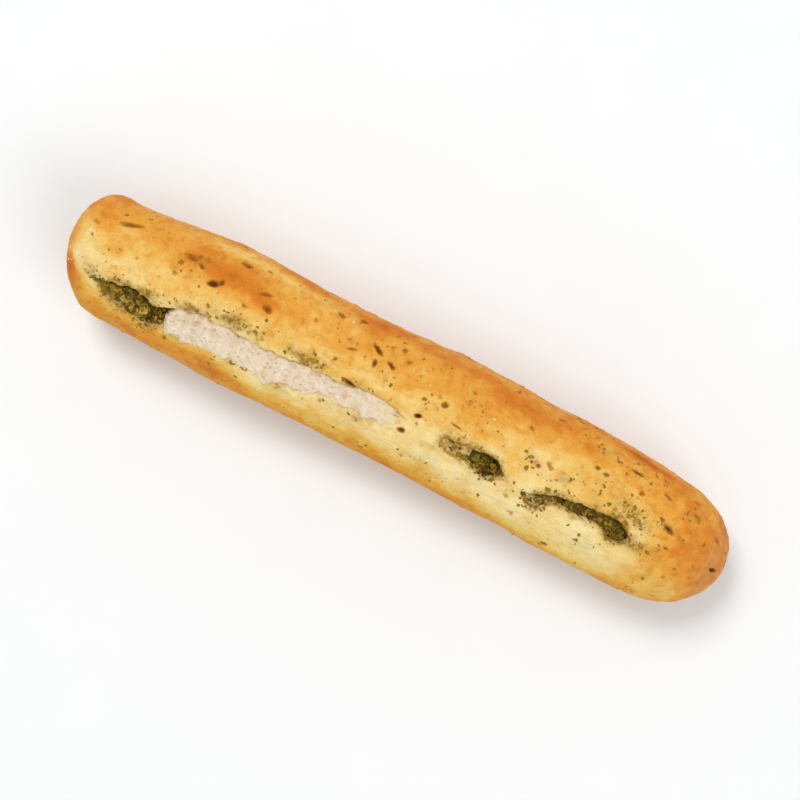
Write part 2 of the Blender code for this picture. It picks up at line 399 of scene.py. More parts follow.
# Dents as seen from above: x, y, half length, half width, turn in degrees, depth, darkness
DENTS = (
    (-21.2, 2.1, 0.72, 0.22, 22, 0.12, 0.65), (-14.5, 1.15, 0.34, 0.22, 15, 0.2, 1),
    (-14, 1.45, 0.22, 0.16, 60, 0.1, 0.7), (-10.5, 1.3, 0.36, 0.24, -20, 0.13, 0.7),
    (-16.6, 2.05, 0.5, 0.2, -25, 0.1, 0.6), (-15.7, 1.8, 0.3, 0.14, -35, 0.1, 0.7),
    (-13, 3.3, 0.3, 0.2, 10, 0.1, 0.7), (-11.1, 2.1, 0.5, 0.14, 25, 0.08, 0.55),
    (-2.8, 2.35, 0.52, 0.16, -35, 0.14, 0.9), (-1.6, 1.8, 0.34, 0.16, -30, 0.12, 0.8),
    (-2.6, 1.4, 0.16, 0.3, 10, 0.12, 0.8), (-4.4, 1.55, 0.4, 0.15, 20, 0.08, 0.5),
    (-6, 3.3, 0.3, 0.22, -20, 0.1, 0.6), (-4.5, 3.6, 0.26, 0.18, 10, 0.08, 0.7),
    (-1.2, 3.15, 0.2, 0.3, 0, 0.08, 0.45), (-7.4, 2.2, 0.22, 0.16, 0, 0.07, 0.4),
    (-3.5, -0.5, 0.6, 0.13, -12, 0.24, 1), (1.55, -0.36, 0.26, 0.17, 20, 0.26, 1),
    (1, -1.72, 0.28, 0.18, 0, 0.16, 0.75), (2.8, 1.1, 0.24, 0.24, 30, 0.12, 0.7),
    (1.4, 0.85, 0.18, 0.12, 0, 0.08, 0.6), (4.1, 0.2, 0.55, 0.09, -8, 0.08, 0.5),
    (-10.2, -2.9, 0.22, 0.14, 0, 0.08, 0.6), (13, -4.05, 0.3, 0.2, 0, 0.07, 0.6),
    (9, 0.88, 0.16, 0.13, 0, 0.08, 0.6), (9.6, 0.42, 0.15, 0.13, 0, 0.08, 0.6),
    (10.1, 0.38, 0.2, 0.15, 0, 0.09, 0.7), (13.7, 2.1, 0.2, 0.14, 0, 0.08, 0.7),
    (14.4, 1.95, 0.24, 0.15, 0, 0.08, 0.7), (16.3, 3.05, 0.5, 0.13, 0, 0.1, 0.85),
    (14.9, 3.15, 0.3, 0.12, 0, 0.08, 0.6), (17.1, 1.95, 0.22, 0.18, 0, 0.08, 0.6),
    (19.8, 0.62, 0.45, 0.22, -25, 0.11, 0.8), (19.1, 1, 0.2, 0.16, 0, 0.08, 0.6),
    (21.2, 2.25, 0.42, 0.24, 0, 0.06, 0.35), (23.3, 1.45, 0.36, 0.3, 0, 0.05, 0.4),
    (24.1, -0.45, 0.24, 0.3, 20, 0.22, 1), (18.8, 2.55, 0.4, 0.16, -15, 0.07, 0.5))
RAISED_BAKE = 0.9  # how much browner the skin is for each millimetre it stands up


def named_dents():
    """Place, shape, depth, rim, darkness and reach along the stick of each of DENTS."""
    for x0, y0, long, wide, turn, deep, darkness in DENTS:
        shape = (long, wide, radians(turn))
        yield x0, float(plan_angle(x0, y0)), shape, deep, 0.16, darkness, 4 * long + 0.5


def drawn_dents():
    """The same for small dents and blisters all over."""
    rng = np.random.default_rng(SEED)
    for k in range(SMALL_DENTS + BLISTERS):
        x0, angle0 = rng.uniform(-LENGTH / 2, LENGTH / 2), rng.uniform(-pi, pi)
        if rng.uniform() < 0.25:
            angle0 = rng.normal(0.55, 0.35)
        size = rng.uniform(0.1, 0.42)
        shape = (size * rng.uniform(1, 1.8), size, rng.uniform(-0.6, 0.6))
        deep, darkness = rng.uniform(0.06, 0.2) * size, 0
        if k < SMALL_DENTS:
            darkness = rng.uniform(0, 0.62) * rise(0.36, 0.14, size)
        else:
            deep *= -0.7
        yield x0, angle0, shape, deep, 0.06, darkness, 3.5 * shape[0]


def dent_field(points, x, angle):
    """Depth of all dents and blisters, and how dark the dents are: partly browner crust, partly
    painted shade in the hollows.
    """
    depth, dark = np.zeros_like(x), np.zeros_like(x)
    for x0, angle0, shape, deep, rim, darkness, reach in (*named_dents(), *drawn_dents()):
        near = np.abs(x[:, 0] - x0) < reach
        long, wide, turn = shape
        ahead = x[near] - x0
        beside = (angle[near] - angle0 + pi) % (2 * pi) - pi
        beside *= WIDTH / 2
        along_it = (ahead * cos(turn) + beside * sin(turn)) / long
        across_it = (beside * cos(turn) - ahead * sin(turn)) / wide
        uneven = 1 + 0.6 * rough_noise(points[near], 0.34, 71, 2)
        away = np.maximum((along_it ** 2 + across_it ** 2) * uneven, 0)
        depth[near] += deep * (np.exp(-away) - rim * bump(np.sqrt(away), 1.55, 0.4))
        dark[near] = np.maximum(dark[near], darkness * np.exp(-0.8 * away ** 1.6))
    return depth, dark


def torn_depth(x, offset):
    """Depth of the torn seam, and how far its lips lean over it."""
    upper = offset > 0
    out = np.abs(offset) / seam_opening(x, upper)
    depth = along(TEAR_DEPTH, x)
    trench = 1 - rise(0.84, 1.04, out)
    swell = np.where(upper, 0.09, 0.04) * (1 + 0.6 * line_noise(x, 1.7, 7))
    lip = swell * bump(out, 1.32, 0.3) * np.clip(depth / 0.5, 0, 1)
    lean = np.where(upper, 0.1, 0.03) * bump(out, 0.96, 0.13) * np.clip(depth / 0.8, 0, 1)
    lean *= 1 + 0.7 * line_noise(x, 0.5, 8)
    return depth * trench - lip, lean


def crust_relief(points, offset):
    """Rolling marks, creases beside the seam, skin and grain of the crust."""
    waves = 0.085 * rough_noise(points, 2.4, 11)
    wrinkles = rough_noise(points, (1.9, 0.42, 0.42), 12)
    beside_seam = 0.55 + 0.6 * bump(np.abs(offset), 0.45, 0.35)
    crease = np.abs(rough_noise(points, (3.4, 0.75, 0.75), 16, octaves=2))
    creased = bump(offset, 0.45, 0.45) * rise(-0.1, 0.5, soft_noise(points, 2.6, 17))
    crease = -0.075 * rise(0.1, 0, crease) * creased
    skin = 0.022 * rise(0.8, 0.15, scattered_cells(points, (0.6, 0.45, 0.45), 18)[0])
    grain = 0.036 * rough_noise(points, 0.55, 13, octaves=2) + 0.014 * soft_noise(points, 0.2, 14)
    return waves + 0.036 * beside_seam * wrinkles + crease + skin + grain


# Browning across the stick: degrees from straight up, then how baked it is
BAKE_ACROSS = (
    (-100, 0.43), (-70, 0.39), (-55, 0.24), (-38, 0.07), (-18, 0.09), (-5, 0.22), (10, 0.31),
    (27, 0.42), (60, 0.46), (100, 0.5))
# Patches baked browner or left paler, and along the lower edge painted shade: x, y, half length,
# half width, and how much
BAKE_PATCHES = (
    (-12.4, 1.75, 2.4, 0.68, 0.2), (-15.4, 2.1, 1.5, 0.5, 0.1), (-3.2, 3.9, 3, 0.6, 0.2),
    (7.6, 3.45, 3.2, 0.75, 0.2), (16.7, 4, 2, 0.34, 0.38), (3.4, 4.1, 2.4, 0.5, 0.14),
    (-7.6, 4.1, 2, 0.45, 0.1), (8.6, 1.3, 2.4, 0.9, -0.07), (-24.3, -1.7, 1.2, 1.4, 0.44),
    (-21.3, -1.45, 1.4, 0.6, 0.15), (-13.2, 3.75, 4.4, 0.7, -0.21), (-20.6, 1.1, 1.9, 1, -0.09),
    (-23.6, 2.6, 1.3, 0.8, 0.12), (12.6, 1.7, 3.8, 0.95, -0.14), (0.2, 2.3, 1.4, 0.6, -0.09),
    (-6.2, 1.8, 1.4, 0.6, -0.05), (6.6, -0.3, 2.2, 0.5, -0.09), (21, -2.6, 1.8, 0.8, -0.03),
    (-17, 0.2, 3, 0.7, -0.07), (-21.6, 0.15, 0.6, 0.45, 0.12), (-23.6, 0.2, 1, 0.8, -0.1),
    (3, -1.9, 2, 0.5, 0.08), (9.2, -1.9, 0.9, 0.5, 0.12), (-1.5, -0.3, 5, 0.5, 0.06),
    (-12, 1, 1.6, 0.9, 0.05), (-3, 1.9, 1.5, 0.7, 0.05), (13.5, 1.4, 2.5, 0.6, 0.05),
    # The three patches near y = -4 on the next line are painted shade along the lower edge.
    (-13.4, -4, 3.5, 0.7, 0.1), (-7.5, -3.8, 4, 0.45, 0.06), (2, -4.3, 7, 0.45, 0.12),
    (-23.4, -2.2, 0.9, 0.8, 0.22))


def bake_amount(points, x, angle):
    """Browning of the crust, 0 pale to 1 brown, by place."""
    degrees = np.degrees(angle) * dome(x) ** 0.7
    patches = 6 * soft_noise(points, 4.5, 21) + 6 * soft_noise(points, 1.8, 22)
    wander = soft_noise(points, 4, 25)
    place = x + 2.4 * wander
    pale = rise(2, 10, place) * rise(20, 15, place) * rise(95, 50, np.abs(degrees))
    browner = rise(-7, -13, place) * (degrees < 0)
    turned = degrees * (1 - 0.28 * pale + 0.24 * browner) + patches
    bake = along(BAKE_ACROSS, turned)
    for x0, y0, long, wide, more in BAKE_PATCHES:
        beside = past_place(angle, x0, y0) + 0.03 * patches
        bake += more * bump(x + 0.5 * wander, x0, long) * bump(beside, 0, wide)
    around = np.abs(degrees) + 1.3 * patches
    under = 0.5 * rise(100, 150, around) + 0.16 * bump(around, 148, 12)
    ends = 0.54 * rise(15, 24, place) * (1 - 0.1 * rise(-5, -45, degrees))
    ends += 0.5 * rise(-23, -25.2, x + 0.6 * wander)
    mottle = 0.09 * rough_noise(points, 1.6, 23) + 0.09 * rough_noise(points, 0.6, 24)
    return np.maximum(np.maximum(bake, under), ends) + mottle


def golden_shaded_flank(x, angle):
    """1 on the -Y flank, where the crust is painted deeper golden, partly from its baking and
    partly as painted shade; 0 elsewhere.
    """
    degrees = np.degrees(angle)
    top = -38 - 5 * rise(-4, 6, x)
    return rise(top, top - 25, degrees) * rise(-150, -105, degrees)


def herb_clumps(x, angle):
    """Strength of the named clumps of herb at each place."""
    total = 0
    for x0, y0, long, wide, strength in HERB_CLUMPS:
        beside = past_place(angle, x0, y0)
        total += strength * bump(x, x0, long) * bump(beside, 0, wide)
    return total


def near_pesto(x):
    """1 where the ribbon of pesto comes up into a gash, 0 where it lies deep."""
    inside = rise(-22.2, -21.4, x) * rise(18.9, 18, x)
    return rise(1.7, 1.05, along(RIBBON_DEPTH, x)) * inside


def stain_amount(points, x, offset, clumps):
    """Green stain that the pesto leaves in the crust beside its gashes."""
    out = past_tear(x, offset)
    ragged = 0.35 * rough_noise(points, 0.7, 31)
    beside = 0.9 * near_pesto(x) * rise(0.55, -0.1, out + ragged)
    band = rise(0.6, 0, out + 1.6 * ragged) * rise(-24, -22, x)
    band = band * rise(22, 19, x) * rise(-0.1, 0.6, soft_noise(points, 1.4, 32))
    right = 0.35 * bump(x, 16, 4.5) * bump(offset, 0.32, 0.3)
    right *= rise(-0.2, 0.6, rough_noise(points, 1.3, 33))
    lower = 0.16 * rise(0, 0.7, rough_noise(points, 1.6, 34)) * (offset < -0.25)
    gathered = 0.8 * clumps * (0.7 + 0.9 * rough_noise(points, 0.5, 36))
    return np.clip(beside + 0.5 * band + right + lower + gathered, 0, 1)


def cut_face(points, x):
    """1 on the flat face that pinching the dough off left at the right end."""
    edge = 1.75 + 0.35 * soft_noise(points, 2.5, 35)
    return rise(edge + 0.55, edge - 0.45, LENGTH / 2 - x), edge


def bread_grid():
    """Points of the finished crust as a grid, with its places and marks."""
    step = np.arange(-HALF_RING, HALF_RING) / HALF_RING
    offset = np.sign(step) * pi * np.abs(step) ** RING_BIAS
    x, offset = np.meshgrid(ring_stations(), offset, indexing="ij")
    depth, lean = torn_depth(x, offset)
    angle = angle_beside_seam(x, offset - np.sign(offset) * lean / (WIDTH / 2))
    untorn = surface(x, angle)
    normals = outward(x, angle)
    dents, dark = dent_field(untorn, x, angle)
    face, edge = cut_face(untorn, x)
    rim = 0.03 * bump(LENGTH / 2 - x, edge + 0.25, 0.45) - 0.03 * face
    in_trench = rise(0.15, 0.5, depth)
    skin = crust_relief(untorn, offset)
    relief = (skin - dents) * (1 - 0.8 * in_trench) + rim
    relief += in_trench * 0.1 * rough_noise(untorn, 0.5, 19)
    at_tip = rise(0, 0.5, dome(x))
    points = surface(x, angle, depth) + normals * (relief * at_tip)[..., None]
    press = 0.02 * rise(-0.2, 0.8, rough_noise(untorn, 0.8, 15))
    points[..., 2] = np.maximum(points[..., 2], base_level() + press)
    clumps = herb_clumps(x, angle)
    marks = {
        "bake": np.clip(bake_amount(untorn, x, angle) + RAISED_BAKE * skin, 0, 1),
        "stain": stain_amount(untorn, x, offset, clumps),
        "dark": np.clip(dark, 0, 1),
        "torn": rise(0.12, 0.45, depth),
        "face": face,
        "gold_and_shade": golden_shaded_flank(x, angle),
        "speckle": np.clip(speckle(untorn, x, offset) / 3 + 0.5 * clumps, 0, 1),
    }
    return points, x, offset, clumps, marks


def make_bread(grid, material):
    """Crust piece, closed to a point at both ends."""
    points, _, _, _, marks = grid
    rows, columns = points.shape[:2]
    faces = grid_faces(rows, columns)
    tips = [points[0].mean(axis=0), points[-1].mean(axis=0)]
    tip, final = rows * columns, (rows - 1) * columns
    for j in range(columns):
        k = (j + 1) % columns
        faces += [(k, j, tip), (final + j, final + k, tip + 1)]
    all_points = np.concatenate([points.reshape(-1, 3), tips])
    all_marks = {name: np.append(values.ravel(), [values[0].mean(), values[-1].mean()])
                 for name, values in marks.items()}
    piece = make_piece("crust", all_points, faces, material, all_marks)
    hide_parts("breadstick")


# ---- crumb in the split

def crumb_grid():
    """Torn crumb that fills the split, from under its upper lip to over the lower."""
    rows, columns = 620, 96
    x = np.linspace(CRUMB_START - 0.9, CRUMB_END, rows)
    side = np.linspace(-1.5, 1.15, columns)
    x, side = np.meshgrid(x, side, indexing="ij")
    offset = side * seam_opening(x, side > 0)
    angle = angle_beside_seam(x, offset)
    skin = surface(x, angle)
    normals = outward(x, angle)
    across = xyz(x - 0.45 * side, 0.9 * side, 0)
    lumps, lump_number = scattered_cells(across, (0.75, 0.55, 1), 41)
    bits, bit_number = scattered_cells(across, (0.26, 0.22, 1), 45)
    streak = xyz(0.85 * x - 0.5 * side, 0.5 * x + 0.85 * side, 0)
    fluff = 0.11 * soft_noise(skin, 1.3, 42) + 0.08 * rise(0.9, 0.1, lumps)
    fluff += 0.125 * rough_noise(streak, (1.3, 0.26, 1), 44)
    fluff += 0.025 * rise(0.9, 0.1, bits) + 0.015 * soft_noise(skin, 0.14, 43)
    pores = rise(0.52, 0.75, bit_number) * rise(0.5, 0.12, bits)
    caves = rise(0.72, 0.85, lump_number) * rise(0.5, 0.15, lumps)
    fluff -= 0.1 * pores + 0.15 * caves
    places = (-1.5, -1.25, -1.08, -0.9, -0.5, 0.2, 0.9, 1.15)
    sunk = np.interp(side, places, (0.55, 0.16, -0.02, -0.02, 0.02, 0.12, 0.24, 0.45))
    ragged = 0.35 * rough_noise(xyz(0, 3 * side, 0), 1, 46)
    frayed = x + 2 * ragged + 0.25 * soft_noise(skin, 0.5, 47)
    narrow = rise(CRUMB_NARROW, CRUMB_END, frayed)
    start = rise(CRUMB_START + 0.3, CRUMB_START - 0.4, x + ragged)
    end = rise(CRUMB_END - 1.2, CRUMB_END, np.maximum(frayed, x - 0.4))
    depth = sunk + 0.04 * narrow + 1.2 * start + 0.6 * end
    points = skin - normals * (depth - fluff * (1 - 0.55 * narrow))[..., None]
    # Tan in the pores and caves is painted shade.
    marks = {"painted_pore_shade": np.clip(pores + caves, 0, 1), "fade": narrow,
             "edge": rise(0.6, 1.05, np.abs(side))}
    return points, normals, marks, side


def make_crumb(grid, material):
    points, _, marks, _ = grid
    rows, columns = points.shape[:2]
    faces = [face[::-1] for face in grid_faces(rows, columns, closed=False)]
    piece = make_piece("crumb", points, faces, material, marks)


def make_strands(starts, ways, ups, lengths, widths, rng, material):
    """Thin bent strands, pointed at both ends, as one mesh."""
    count, steps, sides = len(starts), 8, 5
    ways = unit(ways)
    across = unit(np.cross(ups, ways))
    t = np.linspace(0, 1, steps)
    arch = (rng.uniform(-0.06, 0.12, count) * lengths)[:, None] * np.sin(pi * t)
    sway = (rng.normal(0, 0.16, count) * lengths)[:, None] * np.sin(pi * t)
    sway += (rng.normal(0, 0.1, count) * lengths)[:, None] * np.sin(2 * pi * t)
    path = starts[:, None] + ways[:, None] * (lengths[:, None] * t)[..., None]
    path = path + ups[:, None] * arch[..., None] + across[:, None] * sway[..., None]
    thick = widths[:, None] * (0.12 + 0.88 * np.sin(pi * t) ** 0.7)
    thick *= rng.uniform(0.7, 1.25, thick.shape)
    turn = full_turn(sides)
    ring = across[:, None] * np.cos(turn)[:, None] + ups[:, None] * np.sin(turn)[:, None]
    points = path[:, :, None] + ring[:, None] * thick[:, :, None, None]
    one = np.array(grid_faces(steps, sides))
    starts_at = np.arange(count) * steps * sides
    faces = (one + starts_at[:, None, None]).reshape(-1, 4).tolist()
    for start in starts_at.tolist():
        faces += end_faces(start, steps, sides)
    piece = make_piece("crumb_shreds", points, faces, material)


def make_crumb_shreds(grid, material):
    """Shreds that lie on the crumb and its ragged lower edge."""
    rng = np.random.default_rng(SEED + 3)
    points, normals, marks, side = grid
    density = point_areas(points, closed=False) * (side < 0.8) * (side > -0.88)
    density *= 1 - marks["fade"]
    density[:BURIED_ROWS] = 0
    chosen, middles, ups = pick(density, points, normals, CRUMB_SHREDS, rng)
    ways = np.array([0.85, -0.35, 0]) + rng.normal(0, 0.38, (len(chosen), 3))
    ways -= ups * (ways * ups).sum(axis=1, keepdims=True)
    widths = 0.035 + 0.05 * rng.beta(1.6, 2.4, len(chosen))
    lengths = widths * rng.uniform(4.5, 9, len(chosen))
    starts = middles - ways * lengths[:, None] / 2 - 0.75 * ups * widths[:, None]
    make_strands(starts, ways, ups, lengths, widths, rng, material)


# ---- pesto

def ribbon_depth(x):
    """Depth of the middle of the herb ribbon."""
    return along(RIBBON_DEPTH, x) + 0.2 + 0.3 * bump(x, 7.3, 0.9)


def make_pesto(material):
    """The whole ribbon of herb paste, lumpy and pressed against the bread."""
    rows, columns = 640, 40
    start, end = RIBBON_DEPTH[0][0] - 0.1, RIBBON_DEPTH[-1][0] + 0.1
    x, turn = np.meshgrid(np.linspace(start, end, rows), full_turn(columns), indexing="ij")
    into_tip = np.clip(1 - np.minimum(x - start, end - x), 0, 1)
    tip = np.sqrt(np.maximum(1 - into_tip ** 2, 1e-4))
    angle = seam_angle(x)
    middle = surface(x, angle, ribbon_depth(x))
    up = xyz(0, np.sin(angle), np.cos(angle))
    side = xyz(0, np.cos(angle), -np.sin(angle))
    spill = 1 + 0.22 * line_noise(x + 3 * np.sign(np.sin(turn)), 0.7, 51)
    half_width = (along(RIBBON_HALF_WIDTH, x) * spill + 0.35 * near_pesto(x)) * tip
    half_height = (RIBBON_HALF_HEIGHT + 0.05) * tip
    points = middle + side * (half_width * np.sin(turn))[..., None]
    points += up * (half_height * np.cos(turn))[..., None]
    out = side * np.sin(turn)[..., None] + up * np.cos(turn)[..., None]
    clumps, clump_number = scattered_cells(points, 0.42, 52)
    crumbs, crumb_number = scattered_cells(points, 0.19, 56)
    relief = 0.14 * (0.5 - clumps) + 0.06 * (0.5 - crumbs) + 0.08 * soft_noise(points, 0.9, 57)
    points += out * (relief * tip)[..., None]
    faces = grid_faces(rows, columns) + end_faces(0, rows, columns)
    marks = {"leaf": 0.45 * clump_number + 0.25 * crumb_number}
    piece = make_piece("pesto", points, faces, material, marks)
    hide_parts("pesto_filling")


def make_leaf_bits(material):
    """Chopped leaves, nuts and cheese that cover the pesto and lap its edges."""
    rng = np.random.default_rng(SEED + 4)
    tries = rng.uniform(TEAR_X[0], TEAR_X[-1], LEAF_TRIES)
    x = tries[rng.random(len(tries)) < np.clip(along(BITS_SHARE, tries), 0, 1)]
    side = np.where(rng.random(len(x)) < 0.85, rng.uniform(-1.05, 1.05, len(x)),
                    rng.normal(0, 1, len(x)))
    offset = side * seam_opening(x, side > 0)
    keep = (np.abs(side) < 1) | (rng.random(len(x)) < 0.34)
    x, side, offset = x[keep], side[keep], offset[keep]
    inside = rise(1.05, 0.75, np.abs(side))
    bottom = ribbon_depth(x) - RIBBON_HALF_HEIGHT * np.sqrt(np.clip(1 - side ** 2, 0.1, 1))
    depth = inside * np.minimum(bottom, along(TEAR_DEPTH, x) - 0.1)
    depth *= rng.uniform(0.55, 1.05, len(x))
    angle = angle_beside_seam(x, offset)
    centres = surface(x, angle, depth)
    normals = outward(x, angle)
    tilt = 0.05 + 0.85 * inside * rise(0.05, 0.55, depth)
    normals = unit(normals + tilt[:, None] * rng.normal(0, 0.5, centres.shape))
    sizes = (0.07 + 0.32 * rng.beta(1.4, 3.2, len(x))) * (0.5 + 0.5 * inside)
    leaf = 0.2 * (x < 0) + 0.88 * rng.beta(0.6, 0.75, len(x))
    # Bits towards the upper lip are painted darker: painted shade under the lip, carried in the
    # leaf mark.
    painted_lip_shade = np.where(x < 0, 0.5, 0.66) * rise(-0.1, 0.8, side) * (side < 1.1)
    leaf = np.where(np.abs(side) > 1.08, 0.6 + 0.35 * leaf, leaf)
    marks = {"leaf": np.minimum(leaf, 1) * (1 - painted_lip_shade)}
    piece = make_flakes("leaf_bits", centres, normals, sizes, 0.02 + 0.16 * sizes, 7, rng,
                        material, marks)


# ---- scattered things

def make_flakes(name, centres, normals, sizes, thickness, sides, rng, material, marks=None):
    """Small uneven flakes as one mesh, each a low cap set into the surface."""
    count = len(centres)
    first = unit(np.cross(normals, rng.normal(size=(count, 3))))
    second = np.cross(normals, first)
    turn = full_turn(sides) + rng.uniform(-0.3, 0.3, (count, sides))
    reach = sizes[:, None] * rng.uniform(0.55, 1.3, (count, sides))
    stretch = rng.uniform(0.4, 1, count)[:, None]
    edge = centres[:, None] + first[:, None] * (reach * np.cos(turn))[..., None]
    edge += second[:, None] * (reach * stretch * np.sin(turn))[..., None]
    curl = thickness[:, None] * rng.uniform(-0.7, 0.7, (count, sides))
    edge += normals[:, None] * curl[..., None]
    top = centres + normals * (0.7 * thickness)[:, None]
    low = centres - normals * (1.1 * thickness)[:, None]
    points = np.concatenate([edge, top[:, None], low[:, None]], axis=1)
    start = (np.arange(count) * (sides + 2))[:, None]
    k = np.arange(sides)
    after = (k + 1) % sides
    caps = xyz(start + k, start + after, start + sides)
    lows = xyz(start + after, start + k, start + sides + 1)
    faces = np.concatenate([caps, lows]).reshape(-1, 3).tolist()
    repeated = {mark: np.repeat(values, sides + 2) for mark, values in (marks or {}).items()}
    return make_piece(name, points, faces, material, repeated, smooth=False)


def pick(density, points, normals, count, rng):
    """Indices of grid points drawn by density, and their places and normals."""
    flat = np.clip(density, 0, None).ravel()
    chosen = rng.choice(flat.size, size=count, replace=False, p=flat / flat.sum())
    return chosen, points.reshape(-1, 3)[chosen], normals.reshape(-1, 3)[chosen]


def point_areas(points, closed=True):
    """Area that each grid point stands for."""
    ahead = np.roll(points, -1, axis=1) if closed else points + np.gradient(points, axis=1)
    across = np.linalg.norm(ahead - points, axis=-1)
    forward = np.linalg.norm(np.gradient(points, axis=0), axis=-1)
    return across * forward


def speckle(points, x, offset):
    """How thickly herb specks lie: along the seam, in clouds, thin elsewhere."""
    out = past_tear(x, offset)
    clouds = rise(0, 0.7, rough_noise(points, 1.6, 61))
    clumps = rise(-0.1, 0.6, line_noise(x, 1.3, 62))
    seam = 1.4 * bump(out, 0.15, 0.4) * (0.15 + 0.85 * clumps) * (offset > 0)
    seam += 0.8 * bump(out, 0.2, 0.5) * clumps * (offset < 0)
    seam = seam * rise(-23.6, -22, x) * rise(21, 18.5, x)
    gashes = 1.4 * near_pesto(x) * rise(0.8, 0, out)
    right = 1.9 * bump(x, 16.5, 4.2) * bump(offset, 0.34, 0.3) * (0.2 + clouds)
    middle = 0.55 * bump(x, 4, 12) * bump(offset, 0.75, 0.45) * (0.2 + clouds)
    thin = 0.16 + 0.42 * clouds
    return seam + gashes + right + middle + thin


def make_herb_specks(grid, normals, material):
    """Specks of dried herb baked into the crust."""
    rng = np.random.default_rng(SEED + 1)
    points, x, offset, clumps, marks = grid
    bare = marks["torn"] * (x > CRUMB_START) * (x < CRUMB_END)
    hidden = rise(-3.2, -3.6, points[..., 2])
    density = (speckle(points, x, offset) + 6 * clumps) * (1 - bare) * (1 - hidden)
    density *= point_areas(points)
    chosen, places, ups = pick(density, points, normals, HERB_SPECKS, rng)
    sizes = 0.07 + 0.26 * rng.beta(1.3, 3.6, len(chosen))
    tilted = unit(ups + rng.normal(0, 0.14, (len(chosen), 3)))
    leaf = rng.uniform(0, 0.5, len(chosen)) + 0.9 * marks["bake"].ravel()[chosen]
    leaf += 0.2 * rise(0.12, 0.06, sizes)
    piece = make_flakes("herb_specks", places, tilted, sizes, 0.14 * sizes + 0.006, 8, rng,
                        material, {"leaf": leaf})


def make_salt(grid, normals, material):
    """A few grains of salt."""
    rng = np.random.default_rng(SEED + 2)
    points, _, offset, _, marks = grid
    density = point_areas(points) * bump(offset, 0.6, 0.9) * (points[..., 2] > 0)
    density *= 1 - marks["torn"]
    _, places, ups = pick(density, points, normals, SALT_GRAINS, rng)
    sizes = rng.uniform(0.05, 0.11, SALT_GRAINS)
    piece = make_flakes("salt_grains", places, ups, sizes, 0.9 * sizes, 5, rng, material)


# ---- materials

def linear(code):
    """Linear colour from a six-digit sRGB code."""
    shares = [int(code[k:k + 2], 16) / 255 for k in (0, 2, 4)]
    return [((s + 0.055) / 1.055) ** 2.4 if s > 0.04045 else s / 12.92 for s in shares] + [1]


class Surface:
    """A material's node tree, with short ways to add to it."""

    def __init__(self, name):
        self.material = bpy.data.materials.new(name)
        self.material.use_nodes = True
        self.tree = self.material.node_tree
        self.places = self.add("TexCoord").outputs["Object"]

    def finish(self, **values):
        """The material, with constants and links on the shader's own sockets."""
        self.feed(self.tree.nodes["Principled BSDF"], **values)
        return self.material

    def add(self, kind, **settings):
        node = self.tree.nodes.new("ShaderNode" + kind)
        for name, value in settings.items():
            setattr(node, name, value)
        return node

    def link(self, source, target):
        """Constant or link on a socket."""
        if isinstance(source, (int, float, list, tuple)):
            target.default_value = source
        else:
            self.tree.links.new(source, target)

    def feed(self, node, **values):
        """Constants and links on a node's named sockets; _ stands for a space."""
        for name, value in values.items():
            self.link(value, node.inputs[name.replace("_", " ")])
        return node

    def join(self, kind, *values, **settings):
        """First output of a new node whose sockets are fed in their order."""
        node = self.add(kind, **settings)
        for value, socket in zip(values, node.inputs):
            self.link(value, socket)
        return node.outputs[0]

    def texture(self, node, size, places=None, **values):
        """A texture node whose features are about size millimetres across."""
        places = places or self.places
        return self.feed(node, Vector=places, Scale=1 / (size * MM), **values)

    def mark(self, name):
        """A number kept on the mesh."""
        return self.add("Attribute", attribute_name=name).outputs["Fac"]

    def math(self, operation, *values):
        return self.join("Math", *values, operation=operation)

    def times(self, first, second):
        return self.math("MULTIPLY", first, second)

    def plus(self, base, value, share):
        """The base with a share of a value added."""
        return self.math("MULTIPLY_ADD", value, share, base)

    def stretched(self, factors):
        return self.join("VectorMath", self.places, factors, operation="MULTIPLY")

    def wandering(self, size, reach):
        """Places moved about by reach millimetres at most, by noise of the given size."""
        moved = self.texture(self.add("TexNoise"), size).outputs["Color"]
        return self.join("VectorMath", moved, (2 * reach * MM,) * 3, self.places,
                         operation="MULTIPLY_ADD")

    def noise(self, size, detail=3, rough=0.55, places=None, warp=0):
        """Noise whose features are about size millimetres across."""
        return self.texture(self.add("TexNoise"), size, places, Detail=detail,
                            Roughness=rough, Distortion=warp).outputs["Fac"]

    def spots(self, spacing, reach, share, strength):
        """Soft-edged round spots, reach spacings across at most, on a share of the cells."""
        wandering = self.wandering(0.5 * spacing, 0.35 * spacing)
        cells = self.texture(self.add("TexVoronoi"), spacing, wandering)
        number = self.add("SeparateColor")
        self.link(cells.outputs["Color"], number.inputs[0])
        reach = self.span(number.outputs[0], 0, 1, 0.3 * reach, reach)
        inside = self.span(cells.outputs["Distance"], self.times(reach, 0.35), reach, strength, 0)
        return self.times(inside, self.math("LESS_THAN", number.outputs[1], share))

    def span(self, value, low, high, to_low=0, to_high=1):
        """Maps low..high smoothly to to_low..to_high and stops there."""
        return self.join("MapRange", value, low, high, to_low, to_high,
                         interpolation_type="SMOOTHSTEP")

    def mix(self, factor, first, second, blend="MIX"):
        node = self.add("Mix", data_type="RGBA", blend_type=blend)
        for k, value in ((0, factor), (6, first), (7, second)):
            self.link(value, node.inputs[k])
        return node.outputs[2]

    def tint(self, colour, code, share, blend="MIX"):
        """A colour with a share of a six-digit colour."""
        return self.mix(share, colour, linear(code), blend)

    def ramp(self, value, stops):
        """Colour from a value by (place, colour code) stops."""
        node = self.add("ValToRGB")
        ramp = node.color_ramp
        ramp.interpolation = "EASE"
        while len(ramp.elements) < len(stops):
            ramp.elements.new(0.5)
        for element, (place, code) in zip(ramp.elements, stops):
            element.position = place
            element.color = linear(code)
        self.link(value, node.inputs[0])
        return node.outputs[0]

    def raise_by(self, height, millimetres, onto=None):
        """Bump from a height of 0 to 1."""
        node = self.feed(self.add("Bump"), Strength=1, Distance=millimetres * MM, Height=height)
        if onto:
            self.link(onto, node.inputs["Normal"])
        return node.outputs[0]


